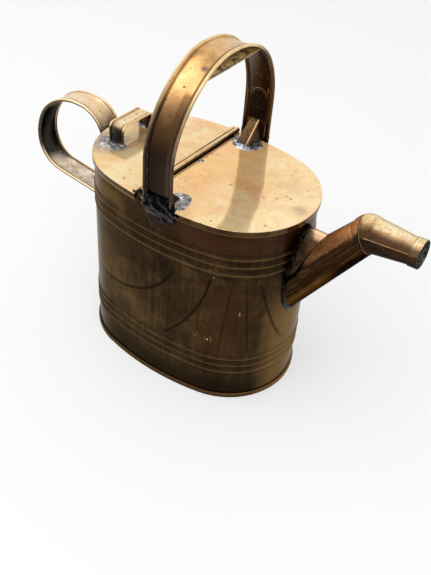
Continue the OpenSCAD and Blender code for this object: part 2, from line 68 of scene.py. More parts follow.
def srgb(r, g, b):
    """A scene colour from red, green and blue between 0 and 255."""
    def lin(c):
        c /= 255
        return c / 12.92 if c <= 0.04045 else ((c + 0.055) / 1.055) ** 2.4
    return (lin(r), lin(g), lin(b), 1)


class Graph:
    """The node graph of one material. Positions are in millimetres in the can's own frame."""

    def __init__(self, name):
        self.mat = bpy.data.materials.new(name)
        self.mat.use_nodes = True
        self.tree = self.mat.node_tree
        self.tree.nodes.clear()
        coords = self.new("TexCoord")
        self.mm = self.vec("SCALE", coords.outputs["Object"], scale=1000)
        self.x, self.y, self.z = self.split(self.mm)
        self.nx, self.ny, self.nz = self.split(coords.outputs["Normal"])
        self.ay = self.calc("ABSOLUTE", self.y)

    def new(self, kind):
        return self.tree.nodes.new("ShaderNode" + kind)

    def put(self, socket, value):
        if isinstance(value, bpy.types.NodeSocket):
            self.tree.links.new(value, socket)
        elif value is not None:
            socket.default_value = value

    def split(self, vector):
        n = self.new("SeparateXYZ")
        self.put(n.inputs[0], vector)
        return n.outputs[0], n.outputs[1], n.outputs[2]

    def join(self, x, y, z):
        n = self.new("CombineXYZ")
        for s, v in zip(n.inputs, (x, y, z)):
            self.put(s, v)
        return n.outputs[0]

    def vec(self, op, a, b=None, scale=None):
        n = self.new("VectorMath")
        n.operation = op
        self.put(n.inputs[0], a)
        if b is not None:
            self.put(n.inputs[1], b)
        if scale is not None:
            n.inputs["Scale"].default_value = scale
        return n.outputs["Value"] if op in ("LENGTH", "DOT_PRODUCT", "DISTANCE") else n.outputs[0]

    def calc(self, op, a, b=None):
        n = self.new("Math")
        n.operation = op
        self.put(n.inputs[0], a)
        if b is not None:
            self.put(n.inputs[1], b)
        return n.outputs[0]

    def add(self, a, b):
        return self.calc("ADD", a, b)

    def sub(self, a, b):
        return self.calc("SUBTRACT", a, b)

    def mul(self, a, b):
        return self.calc("MULTIPLY", a, b)

    def top(self, a, b):
        return self.calc("MAXIMUM", a, b)

    def step(self, v, low, high, a=0.0, b=1.0):
        """Smooth step of v from a at low to b at high. low may be the larger one."""
        n = self.new("MapRange")
        n.interpolation_type = "SMOOTHSTEP"
        if low > high:
            low, high, a, b = high, low, b, a
        self.put(n.inputs["Value"], v)
        for key, value in (("From Min", low), ("From Max", high), ("To Min", a), ("To Max", b)):
            n.inputs[key].default_value = value
        return n.outputs["Result"]

    def noise(self, size, detail=3, rough=0.55, distort=0, stretch=(1, 1, 1), seed=0):
        """Noise whose features are about size mm across, drawn out by stretch."""
        p = self.vec("MULTIPLY", self.mm, tuple(1 / (size * s) for s in stretch))
        p = self.vec("ADD", p, (seed * 7.3, seed * 3.1, seed * 5.7))
        return self.noise_at(p, detail, rough, distort)

    def noise_at(self, p, detail, rough=0.5, distort=0):
        """Noise at the point p, with features about one unit across."""
        n = self.new("TexNoise")
        for key, value in (("Scale", 1), ("Detail", detail), ("Roughness", rough), ("Distortion", distort)):
            n.inputs[key].default_value = value
        self.put(n.inputs["Vector"], p)
        return n.outputs["Fac"]

    def spots(self, size, most, seed=0, soft=0.06):
        """Round spots in cells of size mm. Each has its own radius, up to most of a cell."""
        p = self.vec("MULTIPLY", self.mm, (1 / size, 1 / size, 1 / size))
        p = self.vec("ADD", p, (seed * 4.7, seed * 2.9, seed * 6.1))
        n = self.new("TexVoronoi")
        n.inputs["Scale"].default_value = 1
        self.put(n.inputs["Vector"], p)
        pick = self.split(n.outputs["Color"])[0]
        radius = self.mul(self.calc("POWER", pick, 3), most)
        return self.step(self.sub(n.outputs["Distance"], radius), soft, -soft)

    def near(self, centre, radius, soft):
        """1 within radius mm of the point centre, 0 beyond soft mm more."""
        return self.step(self.vec("DISTANCE", self.mm, centre), radius + soft, radius)

    def band(self, v, low, high, soft):
        """1 where v lies between low and high, with both ends softened."""
        return self.mul(self.step(v, low - soft, low + soft), self.step(v, high + soft, high - soft))

    def mix(self, fac, a, b):
        """Blend of two colours, each a socket or (red, green, blue) from 0 to 255."""
        n = self.new("Mix")
        n.data_type = "RGBA"
        self.put(n.inputs["Factor"], fac)
        for socket, value in ((n.inputs[6], a), (n.inputs[7], b)):
            self.put(socket, srgb(*value) if isinstance(value, tuple) else value)
        return n.outputs[2]

    def over(self, colour, mask, strength, shade):
        """The colour with a shade laid over it, as strong as strength where the mask is 1."""
        return self.mix(self.mul(mask, strength), colour, shade)

    def ramp(self, v, stops):
        """Colours over v. stops lists (value of v, (red, green, blue))."""
        n = self.new("ValToRGB")
        e = n.color_ramp.elements
        e[0].position, e[0].color = stops[0][0], srgb(*stops[0][1])
        e[1].position, e[1].color = stops[-1][0], srgb(*stops[-1][1])
        for value, shade in stops[1:-1]:
            e.new(value).color = srgb(*shade)
        self.put(n.inputs["Fac"], v)
        return n.outputs["Color"]

    def scratches(self, size, along, seed=0, amount=0.5):
        """Fine lines drawn out along one axis: 0, 1 or 2."""
        stretch = [1, 1, 1]
        stretch[along] = 40
        n = self.noise(size, 2, 0.6, 0.4, stretch, seed)
        return self.step(n, 0.72 - 0.12 * amount, 0.80 - 0.12 * amount)

    def swirls(self, size, centre, warp, seed=0):
        """Fine curved lines round a point of the top, as left by polishing."""
        w = self.noise(60, 1, 0.5, 0, seed=seed)
        d = self.vec("DISTANCE", self.mm, centre)
        d = self.add(d, self.mul(w, warp))
        fine = self.join(self.mul(d, 1 / size), self.noise(25, 1, 0.5, 0, seed=seed + 3), 0.0)
        return self.step(self.noise_at(fine, 2), 0.6, 0.72)

    def bump(self, height, depth, normal=None):
        """Bump whose height runs from 0 to depth mm."""
        n = self.new("Bump")
        n.inputs["Strength"].default_value = 1
        n.inputs["Distance"].default_value = depth * MM
        self.put(n.inputs["Height"], height)
        if normal is not None:
            self.put(n.inputs["Normal"], normal)
        return n.outputs["Normal"]

    def finish(self, colour, roughness, normal, metallic=1.0, tint=None):
        n = self.new("BsdfPrincipled")
        self.put(n.inputs["Base Color"], colour)
        self.put(n.inputs["Roughness"], roughness)
        self.put(n.inputs["Metallic"], metallic)
        self.put(n.inputs["Normal"], normal)
        if tint:
            n.inputs["Specular Tint"].default_value = srgb(*tint)
        out = self.new("OutputMaterial")
        self.tree.links.new(n.outputs[0], out.inputs[0])
        return self.mat


# ---------- materials

def tone_of(g, seed, big=70, mid=14, fine=2.2):
    """Mottling in three sizes. Returns their sum and the middle one."""
    m = g.noise(mid, 5, 0.6, 0.5, seed=seed + 1)
    t = g.add(g.mul(g.noise(big, 3, 0.5, seed=seed), 0.45), g.mul(m, 0.38))
    return g.add(t, g.mul(g.noise(fine, 3, 0.6, seed=seed + 2), 0.17)), m


def pits_of(g, seed, size=5.0, most=0.34):
    """Dark pits and specks, thick in some places and thin in others."""
    p = g.top(g.spots(size, most, seed), g.spots(size * 0.45, most * 0.9, seed + 1))
    return g.mul(p, g.step(g.noise(35, 2, 0.5, seed=seed + 2), 0.34, 0.56))


DECK_PLATE, LID_PLATE = 214, 215


def top_brass(plate_z):
    """Deck or lid: bright, rubbed brass above. The folded rim, which faces sideways, is a brown painted
    reflection of dark surroundings with a thin painted highlight. plate_z is about its top's height.
    """
    g = Graph("top_brass_%d" % plate_z)
    tone, mid = tone_of(g, 1)
    gold = g.ramp(tone, [(0.32, (230, 178, 118)), (0.45, (252, 210, 146)), (0.6, (255, 236, 186))])
    pink = g.step(g.noise(34, 4, 0.6, 0.4, seed=7), 0.48, 0.64)
    gold = g.over(gold, pink, 0.6, (242, 178, 126))
    swirl = g.top(g.swirls(0.45, (40, -160, TOP), 30, 1), g.swirls(0.6, (-60, 150, TOP), 40, 2))
    gold = g.over(gold, swirl, 0.16, (190, 140, 96))
    pits = pits_of(g, 4)
    gold = g.over(gold, pits, 0.8, (112, 70, 42))
    cloudy = g.step(g.noise(40, 2, seed=9), 0.5, 0.62)
    haze = g.mul(g.step(g.noise(9, 4, 0.65, 0.8, seed=8), 0.56, 0.72), cloudy)
    gold = g.over(gold, haze, 0.6, (158, 118, 74))
    if plate_z == DECK_PLATE:
        blot = g.mul(g.near((106.4, -1.8, TOP), 2, 9), g.step(mid, 0.34, 0.6))
        gold = g.over(gold, blot, 0.8, (150, 92, 74))
        gold = g.mix(g.step(g.x, 60, 15, 0, 0.5), gold, (250, 190, 122))
        gold = g.mix(g.step(g.x, 40, 90, 0, 0.3), gold, (255, 242, 198))
    else:
        smear = g.step(g.noise(10, 4, 0.6, 0.6, seed=10), 0.3, 0.55)
        round_foot = g.mul(g.near((-98, -26, LID_TOP), 14, 15), smear)
        gold = g.mix(0.22, gold, (206, 176, 124))
        gold = g.over(gold, round_foot, 0.85, (156, 148, 136))
        middle = g.mul(g.near((-78, 6, LID_TOP), 8, 22), g.step(g.noise(14, 3, seed=12), 0.36, 0.6))
        gold = g.over(gold, middle, 0.5, (170, 150, 118))
    # Painted reflection: faces turned sideways get a brown, more metallic copy of the brass
    side = g.step(g.nz, 0.8, 0.5)
    brown = g.ramp(tone, [(0.35, (40, 27, 15)), (0.65, (92, 66, 38))])
    colour = g.mix(side, gold, brown)
    # Painted highlight: a thin pale line along the folded rim
    lip = g.mul(side, g.band(g.z, plate_z - 6.4, plate_z - 5.2, 0.4))
    colour = g.over(colour, lip, 0.6, (196, 158, 104))
    rough = g.add(g.add(g.mul(mid, 0.06), g.mul(g.top(pits, haze), 0.25)), 0.04)
    rough = g.add(rough, g.mul(side, 0.14))
    normal = g.bump(g.noise(38, 1, 0.5, seed=5), 0.4)
    normal = g.bump(g.sub(1.0, pits), 0.06, normal)
    normal = g.bump(g.noise(1.2, 2, 0.5, seed=6), 0.012, normal)
    return g.finish(colour, rough, normal, metallic=g.step(side, 0.1, 0.9, 0.42, 0.97))


def reflected_curve(g, cx, cz, ax, az, half, x0, x1, low):
    """A thin dark curve, a painted reflection of the surroundings: part of an ellipse about (cx, cz) with
    half axes ax and az, from x0 to x1 and below the height low. half is half its width, as a share of the
    ellipse."""
    u = g.mul(g.sub(g.x, cx), 1 / ax)
    v = g.mul(g.sub(g.z, cz), 1 / az)
    r = g.vec("LENGTH", g.join(u, v, 0.0))
    line = g.step(g.calc("ABSOLUTE", g.sub(r, 1.0)), half, half * 0.3)
    line = g.mul(line, g.band(g.x, x0, x1, 7))
    return g.mul(line, g.step(g.z, low + 6, low - 6))


def side_brass():
    """Wall and base: olive-brown tarnished brass, kept dark as a painted reflection of dark surroundings,
    with drips, dark curves that are painted reflections, other dark lines and a few bright scratches.
    """
    g = Graph("side_brass")
    tone, mid = tone_of(g, 11, 85, 17, 1.8)
    streak = g.noise(5, 3, 0.6, 0.2, (1, 1, 16), seed=14)
    tone = g.add(g.mul(tone, 0.8), g.mul(streak, 0.2))
    # Dark olive-brown: tarnish, and a painted reflection of dark surroundings
    colour = g.ramp(tone, [(0.4, (32, 22, 12)), (0.5, (56, 41, 24)), (0.6, (86, 66, 40))])
    near_side = g.step(g.y, -5, -25)
    low = g.step(g.z, 36, 12)
    colour = g.over(colour, low, 0.85, (25, 17, 9))
    colour = g.mix(g.step(g.z, 90, 40, 0, 0.35), colour, (30, 21, 12))
    # Painted highlight: the wall lighter and golden at the spout end
    end = g.mul(g.step(g.x, 103, 117), g.step(g.z, 150, 90))
    colour = g.over(colour, end, 0.55, (142, 108, 64))
    warm = g.mul(g.band(g.x, 52, 96, 14), g.mul(g.band(g.z, 60, 150, 14), near_side))
    colour = g.over(colour, warm, 0.5, (66, 42, 24))
    under = g.mul(g.band(g.z, 184, 206, 5), g.band(g.x, 20, 112, 18))
    colour = g.over(colour, under, 0.6, (66, 40, 25))
    upper = g.mul(g.band(g.z, 188, 203, 5), g.mul(g.band(g.x, -104, -46, 16), near_side))
    colour = g.over(colour, upper, 0.5, (112, 86, 46))
    left = g.mul(g.step(g.x, -96, -112), near_side)
    colour = g.over(colour, left, 0.4, (44, 32, 16))
    # Two thin dark curves that are painted reflections of the surroundings, then dark fold lines and a patch
    lines = g.top(reflected_curve(g, -62, 176, 92, 83, 0.032, -120, 26, 152),
                  reflected_curve(g, -95, 179.6, 160.3, 160.3, 0.012, 16, 70, 156))
    fold = 0.0
    for slope, start, soft in ((-0.08, 69.1, 0.8), (0.07, 102.4, 0.7), (0.17, 127.0, 0.6)):
        fold = g.top(fold, g.band(g.add(g.x, g.mul(g.z, slope)), start, start + 1, soft))
    fold = g.mul(fold, g.band(g.z, 66, 150, 6))
    lines = g.mul(g.top(lines, fold), near_side)
    patch = g.mul(g.near((-46, -74, 14), 8, 14), g.step(mid, 0.3, 0.5))
    lines = g.top(lines, patch)
    colour = g.over(colour, lines, 0.85, (20, 13, 8))
    flecked = ((50, -73, 82, 4), (66, -70, 78, 4), (91, -56, 119, 5), (61, -71, 95, 2.5), (65, -70, 157, 2))
    where = 0.0
    for x, y, z, size in flecked:
        where = g.top(where, g.near((x, y, z), size * 0.4, size))
    fleck = g.step(g.noise(2.6, 3, 0.7, 1.2, (0.8, 0.8, 1.6), seed=17), 0.60, 0.66)
    fleck = g.mul(fleck, where)
    scratch = g.mul(g.scratches(1.3, 2, 18, 0.3), g.mul(warm, 0.5))
    colour = g.mix(g.top(fleck, g.mul(scratch, 0.3)), colour, (250, 206, 130))
    rim = g.mul(g.step(g.z, 6.6, 5.6), g.step(g.z, 1.2, 2.4))
    colour = g.over(colour, rim, 0.35, (124, 92, 54))
    bead = 0.0
    for z in BEADS:
        bead = g.top(bead, g.band(g.z, z - 0.5, z + 0.9, 0.6))
    colour = g.over(colour, bead, 0.3, (136, 104, 64))
    hollow = 0.0
    for z in HOLLOWS:
        hollow = g.top(hollow, g.band(g.z, z - 0.6, z + 0.6, 0.6))
    colour = g.over(colour, hollow, 0.55, (24, 16, 9))
    rough = g.add(g.mul(mid, 0.14), 0.2)
    normal = g.bump(g.noise(45, 1, 0.5, seed=15), 0.9)
    normal = g.bump(g.noise(1.8, 3, 0.6, seed=13), 0.012, normal)
    normal = g.bump(g.sub(1.0, fleck), 0.08, normal)
    return g.finish(colour, rough, normal, metallic=0.98, tint=(222, 214, 202))


def strap_brass(name, seed, stops, edges, shades, metallic=0.95, scratched=0.0, dim=None, tint=None):
    """A strap or a plain sheet. stops are its dark, middle and light brass. edges is None for a plain sheet,
    or gives the wired edges: the function for the distance over the strap from its middle line, half its
    width, the width of the bright edges, which are pale rubbed brass with a painted highlight, and how far
    from the middle a dark line lies. shades(g) lists (mask, strength, colour) laid over the mottled brass in
    turn. dim(g) is 1 where the edges are brown too. metallic is a number or made by metallic(g). scratched
    is how strong pale scratches are."""
    g = Graph(name)
    tone, mid = tone_of(g, seed, 55, 12, 1.8)
    colour = g.ramp(tone, [(0.34, stops[0]), (0.5, stops[1]), (0.65, stops[2])])
    pits = pits_of(g, seed + 4, 4.5, 0.3)
    colour = g.over(colour, pits, 0.7, (70, 44, 26))
    for mask, strength, shade in shades(g):
        colour = g.over(colour, mask, strength, shade)
    if edges:
        across, half, bead, groove = edges
        u = g.calc("ABSOLUTE", across(g))
        # Bright edges: pale rubbed brass with a painted highlight, stronger in random patches
        wear_and_highlight = g.step(g.noise(16, 3, 0.6, seed=seed + 7), 0.3, 0.6)
        edge = g.step(u, half - bead, half - bead * 0.6)
        bright = g.over((248, 216, 160), dim(g), 0.92, (38, 24, 14)) if dim else (248, 216, 160)
        colour = g.over(colour, edge, g.add(g.mul(wear_and_highlight, 0.5), 0.35), bright)
        line = g.band(u, groove - 0.5, groove + 0.5, 0.45)
        colour = g.over(colour, line, 0.8, (38, 25, 15))
    if scratched:
        lines = g.top(g.scratches(1.1, 2, seed + 8, 0.6), g.scratches(1.4, 1, seed + 9, 0.4))
        colour = g.over(colour, lines, scratched, (210, 175, 130))
    rough = g.add(g.add(g.mul(mid, 0.2), g.mul(pits, 0.2)), 0.18)
    normal = g.bump(g.noise(26, 1, 0.5, seed=seed + 5), 0.35)
    normal = g.bump(g.noise(1.8, 3, 0.6, seed=seed + 2), 0.018, normal)
    normal = g.bump(g.sub(1.0, pits), 0.05, normal)
    return g.finish(colour, rough, normal, metallic(g) if callable(metallic) else metallic, tint)


def over_hoop(g):
    return g.add(g.mul(g.sub(g.x, HOOP_X), cos(SKEW)), g.mul(g.y, sin(SKEW)))


def over_rear(g):
    return g.y


def over_lid_handle(g):
    return g.sub(g.x, LID_HANDLE_X)


def mottled(g, seed, low=0.35, high=0.6, size=12):
    return g.step(g.noise(size, 4, 0.6, 0.7, seed=seed), low, high)


def dull_edges(g):
    """Where the hoop's wired edges are brown: its lower legs, and the far one nearly to the crown. Low on the
    near leg, edge faces turned to -X stay bright as a painted highlight.
    """
    left = g.mul(g.mul(g.step(over_hoop(g), 0, -6), g.step(g.z, 340, 308)), 0.85)
    right = g.mul(g.mul(g.step(over_hoop(g), 0, 6), g.step(g.z, 332, 300)), 0.75)
    far = g.mul(g.step(g.y, 30, 52), g.step(g.z, 334, 322))
    dull = g.top(g.top(g.step(g.z, 306, 262), g.top(left, right)), far)
    # Painted highlight: low on the near leg, edge faces turned to -X keep their bright colour
    wear_and_highlight = g.mul(g.step(g.nx, -0.4, -0.66), g.mul(g.step(g.y, 0, -20), g.step(g.z, 306, 286)))
    return g.mul(dull, g.sub(1.0, wear_and_highlight))


def hoop_outer():
    return strap_brass("hoop_outer", 21, ((176, 128, 78), (222, 176, 116), (250, 216, 156)),
                       (over_hoop, 16.2, 3.2, 11.6), lambda g: [
        (g.mul(g.step(g.add(g.z, g.mul(g.noise(26, 2, seed=26), 22)), 336, 306),
               g.step(g.y, 30, -10)), 0.92, (76, 51, 31)),
        (g.mul(g.step(g.z, 328, 290), g.step(g.y, 10, 40)), 0.88, (56, 35, 20)),
        (g.mul(g.step(g.z, 306, 262), g.step(g.y, 20, -20)), 0.94, (28, 17, 9)),
        (g.mul(g.band(over_hoop(g), -13.2, -10.4, 0.6), g.step(g.z, 322, 300)), 0.8, (24, 16, 10)),
        (g.mul(g.mul(g.band(over_hoop(g), -12.0, -11.2, 0.4), g.step(g.z, 282, 262)),
               mottled(g, 29, 0.4, 0.55, 6)), 0.5, (150, 146, 138)),
        (g.mul(g.band(over_hoop(g), 3.5, 10.2, 0.8), g.band(g.z, 296, 314, 2)), 0.6, (66, 44, 26)),
        (g.mul(g.step(g.z, 232, 216), mottled(g, 27)), 0.85, (20, 16, 14)),
        (g.mul(g.band(over_hoop(g), 7.6, 10.2, 0.8), g.step(g.z, 320, 290)), 0.4, (96, 54, 30)),
        (g.mul(g.near((13, -30, 330), 2.0, 3.0), mottled(g, 28, 0.3, 0.45, 5)), 0.85, (124, 84, 80)),
    ], dim=dull_edges)


def scored_arch(g):
    """A pale curved scratch high on the inside of the far leg."""
    r = g.vec("LENGTH", g.join(g.sub(over_hoop(g), 1), g.sub(g.z, 261), 0.0))
    return g.mul(g.mul(g.band(r, 7.6, 8.2, 0.35), g.step(g.z, 263, 266)), g.step(g.y, 0, 20))


def hoop_inner():
    return strap_brass("hoop_inner", 51, ((28, 16, 9), (46, 28, 14), (74, 48, 26)),
                       (over_hoop, 16.2, 2.6, 12.0), lambda g: [
        (g.mul(g.step(g.z, 262, 250), mottled(g, 52, 0.25, 0.45)), 0.85, (22, 19, 17)),
        (g.step(g.z, 308, 330), 0.4, (120, 86, 48)),
        (g.band(g.calc("ABSOLUTE", over_hoop(g)), 9.5, 11.2, 0.8), 0.6, (20, 12, 7)),
        (scored_arch(g), 0.5, (186, 160, 142)),
        (g.mul(g.scratches(1.6, 2, 54, 0.9), g.mul(g.step(g.z, 268, 262), g.step(g.y, 0, 20))),
         0.4, (150, 128, 112)),
    ], scratched=0.3, dim=dull_edges)


def gusset_brass():
    return strap_brass("gusset_brass", 61, ((38, 25, 13), (68, 47, 27), (110, 81, 49)), None, lambda g: [
        (g.step(g.z, 231, 237), 0.95, (20, 14, 10)),
        # Painted highlight along the crease, then a darker facet beyond it, a painted reflection
        (g.mul(g.band(over_hoop(g), 3.4, 4.2, 0.5), g.step(g.z, 237, 233)), 0.75, (236, 200, 140)),
        (g.mul(g.step(over_hoop(g), 4.4, 5.4), g.step(g.z, 238, 234)), 0.6, (70, 44, 32)),
        (g.step(g.z, 221, 215), 0.7, (50, 44, 42)),
        (g.step(g.y, 0, -10), 0.8, (34, 28, 26)),
    ], scratched=0.35)


def tongue_brass():
    return strap_brass("tongue_brass", 65, ((26, 17, 10), (44, 30, 18), (70, 48, 30)), None, lambda g: [
        (g.mul(g.step(g.z, 196, 204), mottled(g, 66)), 0.8, (22, 16, 14)),
        (g.step(g.z, 190.0, 189.3), 0.4, (120, 92, 64)),
    ])


def rear_outer():
    return strap_brass("rear_outer", 71, ((190, 152, 114), (232, 198, 154), (250, 226, 186)),
                       (over_rear, 14, 2.6, 10.6), lambda g: [
        (g.mul(g.step(g.x, -133, -122), mottled(g, 74, 0.26, 0.5)), 0.8, (84, 74, 62)),
        (g.mul(g.step(g.z, 190, 165), g.step(g.ay, 12.4, 11.6)), 0.8, (44, 32, 24)),
        (g.step(g.x, -196, -206), 0.35, (170, 132, 96)),
        # Painted shade: the beads dark where they face down, and dim below browns their bright edges there
        (g.mul(g.step(g.ay, 11.4, 12.2), g.step(g.nz, 0.6, 0.2)), 0.96, (24, 16, 10)),
    ], metallic=0.7, dim=lambda g: g.step(g.nz, 0.6, 0.2))


def rear_inner():
    return strap_brass("rear_inner", 81, ((212, 184, 158), (248, 226, 200), (255, 244, 226)),
                       (over_rear, 14, 2.6, 10.8), lambda g: [
        (g.step(g.add(g.x, g.mul(g.noise(30, 2, seed=84), 20)), -176, -196), 0.98, (34, 33, 32)),
        (g.mul(g.band(g.z, 186, 206, 6), g.step(g.x, -190, -200)), 0.25, (84, 84, 88)),
        (g.mul(g.step(g.z, 150, 132), mottled(g, 85)), 0.5, (110, 80, 84)),
        (g.step(g.x, -142, -124), 0.25, (90, 62, 44)),
    ], metallic=lambda g: g.step(g.x, -176, -192, 0.5, 0.99),
                       dim=lambda g: g.mul(g.step(g.x, -170, -190), 0.9), tint=(120, 120, 120))


def lid_outer():
    return strap_brass("lid_outer", 91, ((198, 162, 114), (238, 208, 158), (252, 230, 184)),
                       (over_lid_handle, 9.25, 2.4, 6.4), lambda g: [
        # Painted shade: darker from the near bend down its leg
        (g.step(g.y, -16, -21), 0.75, (134, 100, 64)),
        (g.mul(g.step(g.z, 233, 229), g.step(g.y, 0, -10)), 0.97, (12, 7, 3)),
        (g.mul(g.step(g.z, 231, 224), g.step(g.y, 0, 10)), 0.85, (48, 32, 18)),
    ], metallic=0.7, dim=lambda g: g.step(g.z, 232, 228))


def lid_inner():
    return strap_brass("lid_inner", 101, ((26, 18, 12), (50, 38, 26), (84, 66, 48)), None, lambda g: [])


def grip_brass():
    return strap_brass("grip_brass", 111, ((150, 118, 66), (206, 170, 108), (232, 200, 140)),
                       (over_hoop, 15.5, 1.2, 13.4), lambda g: [
        (mottled(g, 112, 0.5, 0.6, 8), 0.8, (60, 44, 30)),
    ], metallic=0.2, dim=lambda g: 1.0)


def along_spout(g):
    """Distance in mm along the spout from its root to the elbow."""
    return g.add(g.mul(g.sub(g.x, ROOT_X), SPOUT_X), g.mul(g.sub(g.z, ROOT_Z), SPOUT_Z))


def copper_colour(g, tone):
    """Copper-orange on top and dark brown under it as painted shade, darker towards the root, with a painted
    reflection of the floor low on the near side towards the root, and streaks along the tube. Returns the
    colour, the distance under the tube's middle line, and where the tube is dark with painted shade."""
    colour = g.ramp(tone, [(0.34, (140, 92, 54)), (0.5, (200, 136, 84)), (0.65, (230, 174, 118))])
    s = along_spout(g)
    across = g.sub(g.mul(g.sub(g.x, ELBOW_X), SPOUT_Z), g.mul(g.sub(g.z, ELBOW_Z), SPOUT_X))
    turn = g.calc("ARCTAN2", g.mul(g.y, -1), g.mul(across, -1))
    turn = g.add(turn, g.mul(g.sub(g.noise(9, 2, 0.5, seed=34), 0.5), 0.2))
    # Painted shade: the tube turns darker and nearly black under its middle line
    dark = g.top(g.step(turn, 0.98, 1.24), g.step(turn, -1.1, -1.7))
    colour = g.over(colour, g.step(turn, 0.5, 1.1), 0.4, (132, 78, 44))
    colour = g.over(colour, dark, 0.96, g.ramp(tone, [(0.35, (12, 7, 4)), (0.65, (34, 22, 13))]))
    root = g.mul(g.step(s, 44, 16), mottled(g, 33, 0.3, 0.55))
    colour = g.over(colour, root, 0.55, (40, 27, 16))
    # Painted reflection of the floor: golden-olive low on the near side, towards the root
    low = g.mul(g.step(turn, 1.95, 2.3), g.step(s, 60, 20))
    colour = g.over(colour, low, 0.6, (128, 100, 62))
    streaks = g.noise_at(g.join(g.mul(g.y, 0.5), g.mul(across, 0.5), g.mul(s, 0.02)), 3)
    colour = g.over(colour, g.step(streaks, 0.54, 0.66), 0.4, (104, 76, 46))
    return g.over(colour, g.step(streaks, 0.42, 0.34), 0.5, (34, 20, 12)), across, dark


def copper():
    """Spout tube, with a dark line where the boot's edge lies on it. That edge is a pointed arch with a flat
    crest. side and level are the centre of its arcs."""
    g = Graph("spout_copper")
    tone, mid = tone_of(g, 31, 50, 12, 1.8)
    colour, across, dark = copper_colour(g, tone)
    side, level, radius, crest = -64.6, 150, 84.6, 202.2
    arch = g.vec("LENGTH", g.join(g.sub(g.ay, side), g.sub(g.z, level), 0.0))
    arch = g.top(g.sub(arch, radius), g.sub(g.z, crest))
    upper = g.step(across, 1.5, 0.5)
    colour = g.over(colour, g.mul(g.band(arch, -1.4, 0.7, 0.2), upper), 0.97, (10, 6, 4))
    pits = pits_of(g, 36, 4, 0.3)
    colour = g.over(colour, pits, 0.7, (60, 38, 22))
    rough = g.add(g.mul(mid, 0.2), 0.2)
    normal = g.bump(g.noise(30, 1, 0.5, seed=37), 0.4)
    normal = g.bump(g.sub(1.0, pits), 0.05, normal)
    return g.finish(colour, rough, normal, g.step(dark, 0.1, 0.9, 0.78, 0.98), (120, 120, 120))


def boot_brass():
    """Boot: dark olive with a golden, pinkish crest."""
    g = Graph("boot_brass")
    tone, mid = tone_of(g, 121, 30, 9, 1.8)
    colour = g.ramp(tone, [(0.34, (32, 22, 14)), (0.5, (56, 42, 27)), (0.65, (88, 68, 44))])
    crest = g.mul(g.step(g.add(g.z, g.mul(g.sub(mid, 0.5), 8)), 194, 199), g.step(g.x, 118, 128))
    colour = g.over(colour, crest, 0.85, (228, 186, 142))
    pink = g.mul(g.band(g.z, 186, 195, 4), g.step(g.x, 122, 128))
    colour = g.over(colour, pink, 0.5, (120, 84, 62))
    pale = g.mul(g.near((121, -6, 197), 3, 5), mottled(g, 126, 0.35, 0.5, 4))
    colour = g.over(colour, pale, 0.8, (84, 76, 62))
    specks = g.step(g.noise(2.2, 3, 0.6, seed=127), 0.6, 0.68)
    colour = g.over(colour, specks, 0.4, (140, 104, 66))
    rough = g.add(g.mul(mid, 0.2), 0.26)
    normal = g.bump(g.noise(14, 2, 0.5, seed=124), 0.3)
    return g.finish(colour, rough, normal, metallic=0.92, tint=(140, 140, 140))


